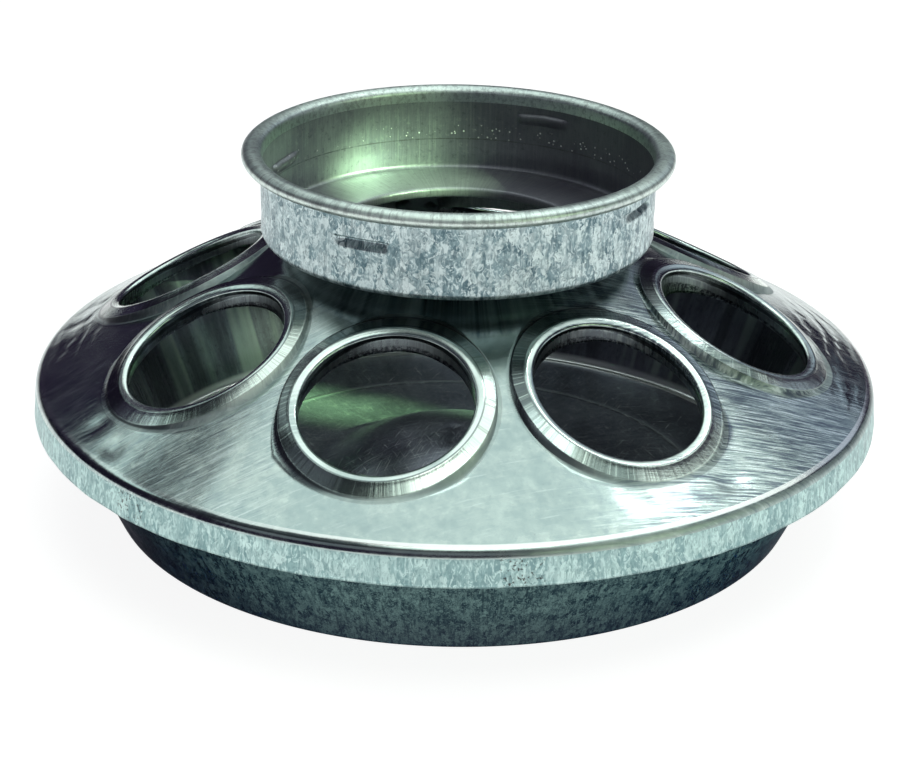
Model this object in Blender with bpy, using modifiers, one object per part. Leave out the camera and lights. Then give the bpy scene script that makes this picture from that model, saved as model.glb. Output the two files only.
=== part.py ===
"""Gravity feeder base for chicks, pressed from thin galvanised sheet.

A round pan holds the feed. A conical cover with eight feed holes sits over its rim and lifts off.
A cup-shaped collar with four pressed thread lugs is clinched into the cover's top and takes the
upturned feed jar.

Units are metres, +Z is up, and the origin is the middle of the pan's underside. Azimuths are
measured from -Y towards +X, and one feed hole is at azimuth zero.
"""

import math

import bmesh
import bpy
from mathutils import Matrix, Vector

COLLECTION_NAME = "chick_feeder"

# Sheet and fits
SHEET = 0.00045
FIT_GAP = 0.0003
WELD_DISTANCE = 0.00001
MERGE_DISTANCE = 0.00005

# Cover: an upright skirt, a straight cone and a flat shoulder round the throat
SKIRT_RADIUS = 0.0798
SKIRT_BOTTOM = 0.0195
FOLD_RADIUS = 0.07905
FOLD_HEIGHT = 0.02585
FOLD_CORNER = 0.0009
CONE_SLOPE = math.radians(26.8)
CONE_TOP_RADIUS = 0.0275
SHOULDER_BEND = 0.0012

# Feed holes: a flat-topped ring is raised round each one, and its lip is turned straight down.
# Radii are taken down the slope, and each side trim makes them that much less across it.
HOLE_COUNT = 8
SECTOR_ANGLE = math.tau / HOLE_COUNT
HOLE_PLAN_RADIUS = 0.0526
LIP_RADIUS = 0.0154
LIP_SIDE_TRIM = 0.0002
LIP_DEPTH = 0.0028
LIP_BEND = 0.0005
CREST_RADIUS = 0.01715
CREST_SIDE_TRIM = 0.0005
CREST_HEIGHT = 0.00083
BOSS_RADIUS = 0.0204
BOSS_SIDE_TRIM = 0.0015

# Collar: a flat floor, an upright wall and a bead rolled outwards
COLLAR_FLOOR = 0.0528
COLLAR_RADIUS = 0.03655
COLLAR_CORNER = 0.0013
COLLAR_TOP = 0.0692
COLLAR_WALL_TOP = 0.0663
BEAD_RADIUS = 0.0400
BEAD_HALF_WIDTH = 0.0019
BEAD_HALF_HEIGHT = 0.00135

# Throat: the collar's floor is turned down through the cover and spread out under it
THROAT_RADIUS = 0.0230
THROAT_BEND = 0.0002
CLINCH_RADIUS = 0.0252
COVER_TOP = COLLAR_FLOOR - SHEET - FIT_GAP
COVER_HOLE_RADIUS = THROAT_RADIUS + SHEET + FIT_GAP

# Thread lugs, pressed inwards along the helix of a 70 mm jar thread
LUG_AZIMUTHS = (-100, -15, 75, 165)
LUG_PITCH = 0.00508
LUG_BASE_HEIGHT = 0.0614
LUG_BASE_AZIMUTH = -15
LUG_DEPTH = 0.0017
LUG_HALF_HEIGHT = 0.0009
LUG_SHOULDER = 0.0007
LUG_HALF_ANGLE = math.radians(5)
LUG_RAMP_ANGLE = math.radians(5)

# Pan: a flat trough round a low dome, and a flared wall with a rolled rim
PAN_FOOT_RADIUS = 0.0656
PAN_FOOT_CORNER = 0.0017
PAN_FLARE = 0.459
TROUGH_INNER_RADIUS = 0.0481
FLOOR_SLOPE = 0.12
DOME_TOP = 0.0120
DOME_CURVATURE = 0.0370
DOME_FOOT_BLEND = 0.0030
DOME_RADII = (0.0320, 0.0280, 0.0250, 0.0215, 0.0165, 0.0110, 0.0055, 0.0)
RIM_RADIUS = 0.0783
RIM_BEAD_RADIUS = 0.0011
RIM_HEIGHT = 0.0256

# Facets
PAN_STEPS = 48
COLLAR_STEPS = 72
ARC_STEPS = 6
SIDE_STEPS = 7
SHOULDER_STEPS = 4


def arc(centre, half_width, half_height, start_degrees, end_degrees, steps):
    """Points (radius, height) along part of an ellipse, both ends included."""
    points = []
    for step in range(steps + 1):
        angle = math.radians(start_degrees + (end_degrees - start_degrees) * step / steps)
        radius = centre[0] + half_width * math.cos(angle)
        height = centre[1] + half_height * math.sin(angle)
        points.append((radius, height))
    return points


def polar(radius, azimuth, height):
    """The point at a radius and azimuth, with azimuth zero along -Y."""
    return Vector((radius * math.sin(azimuth), -radius * math.cos(azimuth), height))


def steel(name, colour, roughness):
    """A galvanised finish."""
    material = bpy.data.materials.new(name)
    material.use_nodes = True
    shader = material.node_tree.nodes["Principled BSDF"]
    shader.inputs["Base Color"].default_value = (*colour, 1.0)
    shader.inputs["Metallic"].default_value = 1.0
    shader.inputs["Roughness"].default_value = roughness
    return material


def finish(mesh, name, material, collection):
    """Puts a mesh in the collection as a sub-part of even sheet thickness, shaded smooth."""
    mesh.name = name
    mesh.materials.clear()
    mesh.materials.append(material)
    mesh.shade_smooth()
    part = bpy.data.objects.new(name, mesh)
    collection.objects.link(part)
    solidify = part.modifiers.new("sheet", "SOLIDIFY")
    solidify.thickness = SHEET
    solidify.offset = -1.0
    solidify.use_even_offset = True
    return part


def turned_surface(profile, steps):
    """The open surface swept by a profile of (radius, height) points, outer end first."""
    mesh = bpy.data.meshes.new("profile")
    points = [(radius, 0.0, height) for radius, height in profile]
    edges = [(index, index + 1) for index in range(len(points) - 1)]
    mesh.from_pydata(points, edges, [])
    carrier = bpy.data.objects.new("profile", mesh)
    bpy.context.scene.collection.objects.link(carrier)
    screw = carrier.modifiers.new("turn", "SCREW")
    screw.axis = "Z"
    screw.angle = math.tau
    screw.steps = steps
    screw.render_steps = steps
    screw.use_merge_vertices = True
    screw.merge_threshold = MERGE_DISTANCE
    screw.use_smooth_shade = True
    evaluated = carrier.evaluated_get(bpy.context.evaluated_depsgraph_get())
    surface = bpy.data.meshes.new_from_object(evaluated)
    bpy.data.objects.remove(carrier)
    return surface


def dome_height(radius):
    """Underside of the pan's middle: a round dome that runs out into a gently rising floor."""
    sphere = DOME_TOP - SHEET - DOME_CURVATURE
    sphere += math.sqrt(DOME_CURVATURE ** 2 - radius ** 2)
    floor = FLOOR_SLOPE * (TROUGH_INNER_RADIUS - radius)
    overlap = max(DOME_FOOT_BLEND - abs(sphere - floor), 0.0) / DOME_FOOT_BLEND
    return max(sphere, floor) + overlap ** 2 * DOME_FOOT_BLEND / 4.0


def pan_profile():
    """The pan's outer face, from the free end of the rolled rim to the top of the dome."""
    bead_centre = (RIM_RADIUS - RIM_BEAD_RADIUS, RIM_HEIGHT - RIM_BEAD_RADIUS)
    inner_bead = RIM_BEAD_RADIUS - SHEET
    rim = arc(bead_centre, inner_bead, inner_bead, -70, 160, 5)
    wall_foot_height = PAN_FOOT_CORNER
    wall_foot_radius = PAN_FOOT_RADIUS + PAN_FLARE * wall_foot_height * 0.5
    wall_top_height = RIM_HEIGHT - 0.003
    wall_top_radius = PAN_FOOT_RADIUS + PAN_FLARE * (wall_top_height - 0.001)
    foot_centre = (PAN_FOOT_RADIUS - PAN_FOOT_CORNER, PAN_FOOT_CORNER)
    foot = arc(foot_centre, PAN_FOOT_CORNER, PAN_FOOT_CORNER, -30, -90, 2)
    dome = [(radius, dome_height(radius)) for radius in DOME_RADII]
    wall = [(wall_top_radius, wall_top_height), (wall_foot_radius, wall_foot_height)]
    trough = [(TROUGH_INNER_RADIUS, 0.0)]
    return rim + wall + foot + trough + dome


def collar_profile():
    """The collar's outer face, from the free end of its rolled bead to the clinch."""
    half_width = BEAD_HALF_WIDTH - SHEET
    half_height = BEAD_HALF_HEIGHT - SHEET
    bead_centre = (BEAD_RADIUS - BEAD_HALF_WIDTH, COLLAR_TOP - BEAD_HALF_HEIGHT)
    bead = arc(bead_centre, half_width, half_height, -115, 170, 7)
    wall_rows = [COLLAR_WALL_TOP]
    for offset in lug_row_offsets():
        wall_rows.append(LUG_BASE_HEIGHT - offset)
    wall = [(COLLAR_RADIUS, height) for height in wall_rows]
    underside = COLLAR_FLOOR - SHEET
    corner_centre = (COLLAR_RADIUS - COLLAR_CORNER, underside + COLLAR_CORNER)
    corner = arc(corner_centre, COLLAR_CORNER, COLLAR_CORNER, 0, -90, 3)
    lip_radius = THROAT_RADIUS + SHEET
    clinch_height = COVER_TOP - SHEET - FIT_GAP
    throat = [
        (lip_radius + THROAT_BEND, underside),
        (lip_radius, underside - THROAT_BEND),
        (lip_radius, clinch_height + THROAT_BEND),
        (lip_radius + THROAT_BEND, clinch_height),
        (CLINCH_RADIUS, clinch_height),
    ]
    return bead + wall + corner + throat


def lug_row_offsets():
    """Distances of the wall's four rows below the middle of a lug, top row first."""
    outer = LUG_HALF_HEIGHT + LUG_SHOULDER
    return (-outer, -LUG_HALF_HEIGHT, LUG_HALF_HEIGHT, outer)


def lug_height_offset(azimuth_degrees):
    """How far the thread stands above its base height: it climbs with azimuth, then drops back."""
    first = LUG_AZIMUTHS[0]
    last = LUG_AZIMUTHS[-1]
    turned = (azimuth_degrees - first) % 360.0
    climb = last - first
    if turned > climb:
        turned = climb * (360.0 - turned) / (360.0 - climb)
    return LUG_PITCH * (turned + first - LUG_BASE_AZIMUTH) / 360.0


def lug_press(azimuth):
    """Depth of the pressing at an azimuth: full over each lug and sloping off at both ends."""
    depth = 0.0
    for lug_degrees in LUG_AZIMUTHS:
        away = abs(math.remainder(azimuth - math.radians(lug_degrees), math.tau))
        share = 1.0 - (away - LUG_HALF_ANGLE) / LUG_RAMP_ANGLE
        depth = max(depth, LUG_DEPTH * min(max(share, 0.0), 1.0))
    return depth


def press_lugs(surface):
    """Shifts the wall's lug rows along the thread helix and presses the lugs inwards."""
    low, high = -lug_row_offsets()[3], -lug_row_offsets()[0]
    for vertex in surface.vertices:
        radius = math.hypot(vertex.co.x, vertex.co.y)
        offset = vertex.co.z - LUG_BASE_HEIGHT
        on_wall = abs(radius - COLLAR_RADIUS) < WELD_DISTANCE
        if not on_wall or not low - WELD_DISTANCE < offset < high + WELD_DISTANCE:
            continue
        azimuth = math.atan2(vertex.co.x, -vertex.co.y)
        height = vertex.co.z + lug_height_offset(math.degrees(azimuth))
        if abs(offset) < LUG_HALF_HEIGHT + WELD_DISTANCE:
            radius = COLLAR_RADIUS - lug_press(azimuth)
        vertex.co = polar(radius, azimuth, height)


def cone_height(radius):
    """Height of the cone's outer face at a plan radius."""
    return FOLD_HEIGHT + (FOLD_RADIUS - radius) * math.tan(CONE_SLOPE)


def on_cone(x, y):
    """The cone's outer face above a plan point, with x outwards and y across."""
    return Vector((x, y, cone_height(math.hypot(x, y))))


def hole_angles():
    """Directions from the hole's centre to the corners and arcs of its sector of the cone."""
    across = math.cos(CONE_SLOPE)
    half = SECTOR_ANGLE / 2.0
    corners = []
    for radius in (FOLD_RADIUS - FOLD_CORNER, CONE_TOP_RADIUS):
        out = (radius * math.cos(half) - HOLE_PLAN_RADIUS) / across
        corners.append(math.atan2(radius * math.sin(half), out))
    outer_corner, inner_corner = corners
    angles = []
    for step in range(ARC_STEPS):
        angles.append(-outer_corner + 2.0 * outer_corner * step / ARC_STEPS)
    for step in range(SIDE_STEPS):
        angles.append(outer_corner + (inner_corner - outer_corner) * step / SIDE_STEPS)
    far_side = math.tau - inner_corner
    for step in range(SHOULDER_STEPS):
        angles.append(inner_corner + (far_side - inner_corner) * step / SHOULDER_STEPS)
    for step in range(SIDE_STEPS):
        angles.append(far_side + (inner_corner - outer_corner) * step / SIDE_STEPS)
    return angles


def boss_ring(angles, radius, side_trim, height, drop=0.0):
    """An oval round the hole, parallel to the cone, raised by a height and dropped straight down."""
    out = Vector((math.cos(CONE_SLOPE), 0.0, -math.sin(CONE_SLOPE)))
    across = Vector((0.0, 1.0, 0.0))
    normal = Vector((math.sin(CONE_SLOPE), 0.0, math.cos(CONE_SLOPE)))
    centre = on_cone(HOLE_PLAN_RADIUS, 0.0) + normal * height - Vector((0.0, 0.0, drop))
    ring = []
    for angle in angles:
        reach = radius - side_trim * math.sin(angle) ** 2
        ring.append(centre + (out * math.cos(angle) + across * math.sin(angle)) * reach)
    return ring


def boss_foot(angles):
    """Where the raised ring runs out on the cone, a little narrower across than down it."""
    ring = []
    for angle in angles:
        radius = BOSS_RADIUS - BOSS_SIDE_TRIM * math.sin(angle) ** 2
        x = HOLE_PLAN_RADIUS + radius * math.cos(angle) * math.cos(CONE_SLOPE)
        ring.append(on_cone(x, radius * math.sin(angle)))
    return ring


def sector_outline(angles):
    """The sector's edge on the cone, met by a line from the hole's centre at each angle."""
    half = SECTOR_ANGLE / 2.0
    outer_radius = FOLD_RADIUS - FOLD_CORNER
    outline = []
    for index, angle in enumerate(angles):
        if index <= ARC_STEPS:
            azimuth = -half + SECTOR_ANGLE * index / ARC_STEPS
            x, y = outer_radius * math.cos(azimuth), outer_radius * math.sin(azimuth)
        elif ARC_STEPS + SIDE_STEPS <= index <= ARC_STEPS + SIDE_STEPS + SHOULDER_STEPS:
            step = index - ARC_STEPS - SIDE_STEPS
            azimuth = half - SECTOR_ANGLE * step / SHOULDER_STEPS
            x, y = CONE_TOP_RADIUS * math.cos(azimuth), CONE_TOP_RADIUS * math.sin(azimuth)
        else:
            out = math.cos(angle) * math.cos(CONE_SLOPE)
            side = abs(math.sin(angle))
            reach = HOLE_PLAN_RADIUS * math.tan(half) / (side - out * math.tan(half))
            x, y = HOLE_PLAN_RADIUS + out * reach, math.sin(angle) * reach
        outline.append(on_cone(x, y))
    return outline


def skirt_profile():
    """From the cone's outer edge over the fold to the bottom of the skirt."""
    fold_top = cone_height(FOLD_RADIUS - FOLD_CORNER)
    return [
        (FOLD_RADIUS - FOLD_CORNER, fold_top),
        (FOLD_RADIUS, FOLD_HEIGHT - 0.0001),
        (FOLD_RADIUS + 0.0002, FOLD_HEIGHT - FOLD_CORNER),
        (SKIRT_RADIUS, SKIRT_BOTTOM),
    ]


def shoulder_profile():
    """From the cone's top over a flat shoulder to the edge of the cover's round hole."""
    return [
        (CONE_TOP_RADIUS, cone_height(CONE_TOP_RADIUS)),
        (CONE_TOP_RADIUS - SHOULDER_BEND, COVER_TOP),
        (COVER_HOLE_RADIUS, COVER_TOP),
    ]


def add_strip(build, first, second, closed):
    """A row of quads between two rows of points, facing up when the second lies outside."""
    count = len(first) if closed else len(first) - 1
    near = [build.verts.new(point) for point in first]
    far = [build.verts.new(point) for point in second]
    for index in range(count):
        following = (index + 1) % len(first)
        build.faces.new((near[index], far[index], far[following], near[following]))


def add_sector(build, turn):
    """One feed hole with its share of the cone, skirt and shoulder, turned to its azimuth."""
    angles = hole_angles()
    lip_top = CREST_HEIGHT - 2.0 * LIP_BEND
    rings = [
        boss_ring(angles, LIP_RADIUS, LIP_SIDE_TRIM, lip_top, LIP_DEPTH),
        boss_ring(angles, LIP_RADIUS, LIP_SIDE_TRIM, lip_top),
        boss_ring(angles, LIP_RADIUS + LIP_BEND, LIP_SIDE_TRIM, CREST_HEIGHT - 0.4 * LIP_BEND),
        boss_ring(angles, CREST_RADIUS, CREST_SIDE_TRIM, CREST_HEIGHT),
        boss_foot(angles),
        sector_outline(angles),
    ]
    for inner, outer in zip(rings, rings[1:]):
        add_strip(build, [turn @ p for p in inner], [turn @ p for p in outer], closed=True)
    half = SECTOR_ANGLE / 2.0
    for profile, steps, outwards in (
        (skirt_profile(), ARC_STEPS, True),
        (shoulder_profile(), SHOULDER_STEPS, False),
    ):
        rows = []
        for radius, height in profile:
            row = []
            for step in range(steps + 1):
                azimuth = -half + SECTOR_ANGLE * step / steps
                point = Vector((radius * math.cos(azimuth), radius * math.sin(azimuth), height))
                row.append(turn @ point)
            rows.append(row)
        for first, second in zip(rows, rows[1:]):
            if outwards:
                add_strip(build, first, second, closed=False)
            else:
                add_strip(build, second, first, closed=False)


def make_pan(collection):
    """The feed pan, which the whole feeder stands on."""
    material = steel("pan_steel", (0.23, 0.31, 0.29), 0.50)
    surface = turned_surface(pan_profile(), PAN_STEPS)
    return finish(surface, "base_pan", material, collection)


def make_cover(collection):
    """The cover: eight sectors, each lofted from a round lip to a piece of the cone."""
    material = steel("cover_steel", (0.42, 0.50, 0.50), 0.34)
    build = bmesh.new()
    for index in range(HOLE_COUNT):
        turn = Matrix.Rotation(index * SECTOR_ANGLE - math.pi / 2.0, 4, "Z")
        add_sector(build, turn)
    bmesh.ops.remove_doubles(build, verts=build.verts, dist=WELD_DISTANCE)
    surface = bpy.data.meshes.new("cover")
    build.to_mesh(surface)
    build.free()
    return finish(surface, "feed_cover", material, collection)


def make_collar(collection):
    """The jar collar, whose turned-down throat holds it to the cover's shoulder."""
    material = steel("collar_steel", (0.46, 0.55, 0.55), 0.42)
    surface = turned_surface(collar_profile(), COLLAR_STEPS)
    press_lugs(surface)
    return finish(surface, "jar_collar", material, collection)


def main():
    for thing in list(bpy.data.objects):
        bpy.data.objects.remove(thing)
    collection = bpy.data.collections.new(COLLECTION_NAME)
    bpy.context.scene.collection.children.link(collection)
    pan_axis = bpy.data.objects.new("pan_frame", None)
    cover_axis = bpy.data.objects.new("cover_lift_axis", None)
    collection.objects.link(pan_axis)
    collection.objects.link(cover_axis)
    cover_axis.parent = pan_axis
    make_pan(collection).parent = pan_axis
    make_cover(collection).parent = cover_axis
    make_collar(collection).parent = cover_axis


main()
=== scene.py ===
"""Looks of the chick feeder base: pressed galvanised sheet, the finishes on it, light and camera.

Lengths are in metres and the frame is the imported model's. Azimuths are in degrees, measured from -Y
towards +X, and one feed hole is at azimuth zero.
"""

import math

import bmesh
import bpy
import numpy as np
from mathutils import Matrix, Vector, noise


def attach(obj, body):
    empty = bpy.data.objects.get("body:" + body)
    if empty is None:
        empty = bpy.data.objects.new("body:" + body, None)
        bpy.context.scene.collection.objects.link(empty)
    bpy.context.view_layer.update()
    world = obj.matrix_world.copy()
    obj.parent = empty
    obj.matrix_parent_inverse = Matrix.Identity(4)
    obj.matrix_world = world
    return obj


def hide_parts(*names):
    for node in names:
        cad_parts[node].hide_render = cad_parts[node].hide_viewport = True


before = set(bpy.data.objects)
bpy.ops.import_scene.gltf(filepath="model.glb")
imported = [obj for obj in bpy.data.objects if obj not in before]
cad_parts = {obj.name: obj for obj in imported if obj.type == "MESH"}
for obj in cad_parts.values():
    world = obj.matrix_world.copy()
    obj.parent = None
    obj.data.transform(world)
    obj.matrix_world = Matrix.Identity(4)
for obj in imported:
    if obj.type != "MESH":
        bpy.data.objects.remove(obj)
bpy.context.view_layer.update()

MM = 0.001

# The pressings' driving sizes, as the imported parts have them
SHEET = 0.45 * MM
WELD_DISTANCE = 0.01 * MM
SKIRT_RADIUS = 79.8 * MM
SKIRT_BOTTOM = 19.5 * MM
FOLD_RADIUS = 79.05 * MM
FOLD_HEIGHT = 25.85 * MM
FOLD_CORNER = 1.2 * MM
CONE_SLOPE = math.radians(26.8)
CONE_TOP_RADIUS = 27.5 * MM
SHOULDER_BEND = 1.2 * MM
HOLE_COUNT = 8
SECTOR_ANGLE = math.tau / HOLE_COUNT
HOLE_PLAN_RADIUS = 52.6 * MM
LIP_RADIUS = 15.4 * MM
BOSS_RADIUS = 20.4 * MM
COLLAR_FLOOR = 52.8 * MM
COLLAR_RADIUS = 36.55 * MM
COLLAR_CORNER = 1.3 * MM
COLLAR_TOP = 69.2 * MM
COLLAR_WALL_TOP = 66.3 * MM
COLLAR_CREASE_HEIGHT = 58.7 * MM
BEAD_RADIUS = 40.0 * MM
BEAD_HALF_WIDTH = 1.9 * MM
BEAD_HALF_HEIGHT = 1.35 * MM
THROAT_RADIUS = 23.0 * MM
CLINCH_RADIUS = 25.2 * MM
FIT_GAP = 0.3 * MM
COVER_TOP = COLLAR_FLOOR - SHEET - FIT_GAP
COVER_HOLE_RADIUS = THROAT_RADIUS + SHEET + FIT_GAP
LUG_AZIMUTHS = (-100.0, -15.0, 75.0, 165.0)
LUG_PITCH = 5.08 * MM
LUG_BASE_HEIGHT = 61.4 * MM
LUG_BASE_AZIMUTH = -15.0
LUG_DEPTH = 0.9 * MM
PAN_FOOT_RADIUS = 65.6 * MM
PAN_FOOT_CORNER = 1.7 * MM
PAN_FLARE = 0.459
TROUGH_INNER_RADIUS = 48.1 * MM
FLOOR_SLOPE = 0.12
DOME_TOP = 12.0 * MM
DOME_CURVATURE = 37.0 * MM
DOME_FOOT_BLEND = 3.0 * MM
RIM_RADIUS = 78.3 * MM
RIM_BEAD_RADIUS = 1.1 * MM
RIM_HEIGHT = 25.6 * MM

# Steps of the fine meshes
PAN_COLUMNS = 320
COLLAR_COLUMNS = 480
OUTER_ARC_STEPS = 32
SIDE_STEPS = 28
SHOULDER_STEPS = 16
FOLD_STEPS = 9
BEAD_STEPS = 22

# Azimuth and strength of the creases beside the cover's rim
WRINKLE_SIDES = ((104.0, 0.8), (-86.0, 0.45))

# Shallow dents in the cover: azimuth, radius, depth and half-widths round and out, in degrees and mm
DENTS = (
    (52.5, 73.4, 0.50, 3.9, 3.9),
    (38.0, 72.0, 0.14, 2.6, 4.0),
    (-39.5, 75.0, 0.22, 2.8, 3.0),
    (-46.0, 73.5, 0.16, 2.4, 4.0),
    (-84.0, 74.0, 0.20, 2.2, 4.5),
    (-92.0, 73.0, 0.20, 2.2, 4.5),
    (71.0, 71.0, 0.10, 3.5, 4.0),
    (14.0, 70.0, 0.10, 4.0, 5.0),
    (-12.0, 74.0, 0.08, 4.0, 3.5),
)

# The sides darkened with painted shade: outside on the pan, inside on the collar
PAN_SHADED_AZIMUTH = -72.0
COLLAR_SHADED_AZIMUTH = 122.0

# Where the skirt has specks of rust
RUST_AZIMUTHS = (21.0, -31.0, 118.0, -140.0)

# Directions of the scratches on the pan's floor
SCRATCH_ANGLES = (20.0, -55.0, 80.0)

# The rolled sheet's grain in plan, and the sides of the cone where it is faintest and strongest
GRAIN_ANGLE = math.radians(30.0)
CALM_AZIMUTH = 12.0
SCOURED_AZIMUTH = 66.0

# Where the narrow beams come from, and where one lands inside the collar
BEAM_AZIMUTH = 73.0
BEAM_DISTANCE = 1.1
COLLAR_GLOW_PLACE = (-20.5 * MM, 28.5 * MM, 52.0 * MM)

# The side of every ring that carries the brightest painted highlight, seen from its hole's centre
RING_LIT_AZIMUTH = 62.0

# Painted light and shade on the slope of every ring, lighter or darker on fixed sides: azimuth from the
# hole's centre, how closely a point has to face it for the tone to start and to be full, share and colour
RING_LIGHT_AND_SHADE = (
    (-78.0, 0.80, 0.95, 0.75, (0.06, 0.07, 0.08)),
    (10.0, 0.88, 0.97, 0.60, (0.10, 0.13, 0.11)),
    (-31.0, 0.94, 0.99, 0.60, (0.80, 0.94, 0.92)),
    (RING_LIT_AZIMUTH, 0.74, 0.88, 0.85, (0.90, 1.0, 0.92)),
)

# The side on which the cover's fold carries its painted highlight
FOLD_LIT_AZIMUTH = 58.0

# The camera's place, roll, lens and aim
CAMERA_AZIMUTH = math.radians(12.7)
CAMERA_ELEVATION = math.radians(23.51)
CAMERA_DISTANCE = 465.8 * MM
CAMERA_ROLL = math.radians(0.94)
CAMERA_LENS = 96.33
CAMERA_AIM_SIDE = -0.25 * MM
CAMERA_AIM_HEIGHT = 21.85 * MM


def smooth(value):
    """Eases 0..1, and holds outside it."""
    value = np.clip(value, 0.0, 1.0)
    return value * value * (3.0 - 2.0 * value)


def between(value, low, high):
    """0 below low, 1 above high, eased."""
    return smooth((value - low) / (high - low))


def toward(azimuth, elevation):
    """A unit vector at an azimuth and an elevation in radians."""
    flat = math.cos(elevation)
    return Vector((math.sin(azimuth) * flat, -math.cos(azimuth) * flat, math.sin(elevation)))


def arc(centre, half_width, half_height, start, end, steps):
    """Points (radius, height) along part of an ellipse, angles in degrees, both ends included."""
    angles = np.radians(np.linspace(start, end, steps + 1))
    return list(zip(centre[0] + half_width * np.cos(angles), centre[1] + half_height * np.sin(angles)))


def run(start, end, steps):
    """Points between two points (radius, height), the last one left out."""
    shares = np.linspace(0.0, 1.0, steps, endpoint=False)
    return [(start[0] + (end[0] - start[0]) * s, start[1] + (end[1] - start[1]) * s) for s in shares]


def turned(profile, columns, start=0.0):
    """Rows of points swept once round from a profile of (radius, height)."""
    azimuth = start + np.arange(columns) * math.tau / columns
    radius = np.array([p[0] for p in profile])[:, None]
    height = np.array([p[1] for p in profile])[:, None]
    return np.stack(
        [radius * np.sin(azimuth), -radius * np.cos(azimuth), height + np.zeros(columns)], axis=2
    )


def grid_faces(rows, columns, first=0):
    """Quads of a grid closed across its columns."""
    faces = []
    for row in range(rows - 1):
        for column in range(columns):
            following = (column + 1) % columns
            near, far = first + row * columns, first + (row + 1) * columns
            faces.append((near + column, far + column, far + following, near + following))
    return faces


def polar_parts(points):
    """Radius and azimuth in degrees of an array of points."""
    return np.hypot(points[..., 0], points[..., 1]), np.degrees(np.arctan2(points[..., 0], -points[..., 1]))


def wave(points, size, seed, depth=1):
    """Smooth noise in about -1..1 at each point, with bumps of the given size."""
    offset = Vector((seed * 7.31, seed * 3.17, seed * 1.73))
    flat = points.reshape(-1, 3) / size
    values = [noise.fractal(Vector(p) + offset, 1.0, 2.0, depth) for p in flat]
    return np.array(values).reshape(points.shape[:-1])


def make_mesh(name, points, faces, material_indices):
    """A smooth-shaded mesh whose doubled points are welded."""
    mesh = bpy.data.meshes.new(name)
    mesh.from_pydata(points.reshape(-1, 3).tolist(), [], faces)
    mesh.polygons.foreach_set("material_index", np.array(material_indices, dtype=np.int32))
    build = bmesh.new()
    build.from_mesh(mesh)
    bmesh.ops.remove_doubles(build, verts=build.verts, dist=WELD_DISTANCE)
    bmesh.ops.dissolve_degenerate(build, edges=build.edges, dist=WELD_DISTANCE / 10.0)
    build.to_mesh(mesh)
    build.free()
    mesh.shade_smooth()
    return mesh


def vertex_array(mesh, what="co"):
    values = np.empty(len(mesh.vertices) * 3)
    mesh.vertices.foreach_get(what, values)
    return values.reshape(-1, 3)


def set_attribute(mesh, name, kind, values):
    attribute = mesh.attributes.new(name, kind, "POINT")
    attribute.data.foreach_set("vector" if kind == "FLOAT_VECTOR" else "value", values.ravel())


def sheet_piece(name, mesh, materials, node, body):
    """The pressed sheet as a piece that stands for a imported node: outer finishes, then inner ones."""
    for material in materials:
        mesh.materials.append(material)
    piece = bpy.data.objects.new(name, mesh)
    bpy.context.scene.collection.objects.link(piece)
    solidify = piece.modifiers.new("sheet", "SOLIDIFY")
    solidify.thickness = SHEET
    solidify.offset = -1.0
    solidify.use_even_offset = True
    solidify.material_offset = len(materials) // 2
    solidify.material_offset_rim = 0
    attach(piece, body)
    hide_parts(node)
    return piece


# ---------------------------------------------------------------- pan

def dome_height(radius):
    """Underside of the pan's middle: a round dome that runs out into a gently rising floor."""
    sphere = DOME_TOP - SHEET - DOME_CURVATURE
    sphere += math.sqrt(DOME_CURVATURE ** 2 - min(radius, DOME_CURVATURE) ** 2)
    floor = FLOOR_SLOPE * (TROUGH_INNER_RADIUS - radius)
    overlap = max(DOME_FOOT_BLEND - abs(sphere - floor), 0.0) / DOME_FOOT_BLEND
    return max(sphere, floor) + overlap ** 2 * DOME_FOOT_BLEND / 4.0


def pan_profile():
    """The pan's outer face, from the free end of the rolled rim to the middle of the dome."""
    bead_centre = (RIM_RADIUS - RIM_BEAD_RADIUS, RIM_HEIGHT - RIM_BEAD_RADIUS)
    inner_bead = RIM_BEAD_RADIUS - SHEET
    rim = arc(bead_centre, inner_bead, inner_bead, -70, 160, 14)
    wall_top = (PAN_FOOT_RADIUS + PAN_FLARE * (RIM_HEIGHT - 4.0 * MM), RIM_HEIGHT - 3.0 * MM)
    foot_centre = (PAN_FOOT_RADIUS - PAN_FOOT_CORNER, PAN_FOOT_CORNER)
    foot = arc(foot_centre, PAN_FOOT_CORNER, PAN_FOOT_CORNER, -24, -90, 8)
    wall = run(wall_top, foot[0], 14)
    trough = run(foot[-1], (TROUGH_INNER_RADIUS, 0.0), 8)
    radii = np.linspace(TROUGH_INNER_RADIUS, 0.0, 41)
    dome = [(radius, dome_height(radius)) for radius in radii]
    return rim + wall + foot[:-1] + trough + dome


def make_pan():
    """The feed pan: rolled rim, flared wall, flat trough and low dome."""
    profile = pan_profile()
    points = turned(profile, PAN_COLUMNS)
    radius, azimuth = polar_parts(points)
    on_wall = between(points[..., 2], 2.0 * MM, 6.0 * MM) * between(-points[..., 2], -22.0 * MM, -17.0 * MM)
    push = 0.10 * MM * (wave(points, 30.0 * MM, 1) - 1.0) * on_wall
    points[..., 0] += push * np.sin(np.radians(azimuth))
    points[..., 1] -= push * np.cos(np.radians(azimuth))
    inside = between(-radius, -62.0 * MM, -50.0 * MM)
    points[..., 2] += 0.12 * MM * (1.0 + wave(points, 22.0 * MM, 2)) * inside
    faces = grid_faces(len(profile), PAN_COLUMNS)
    mesh = make_mesh("pan_shell", points, faces, [0] * len(faces))
    materials = [pan_outer_finish(), pan_inner_finish()]
    piece = sheet_piece("pan_shell", mesh, materials, "base_pan", "pan")
    # The narrow faces round the dome's middle would throw spikes with an even offset
    piece.modifiers["sheet"].use_even_offset = False


# ---------------------------------------------------------------- cover

def cone_height(radius):
    return FOLD_HEIGHT + (FOLD_RADIUS - radius) * math.tan(CONE_SLOPE)


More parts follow.
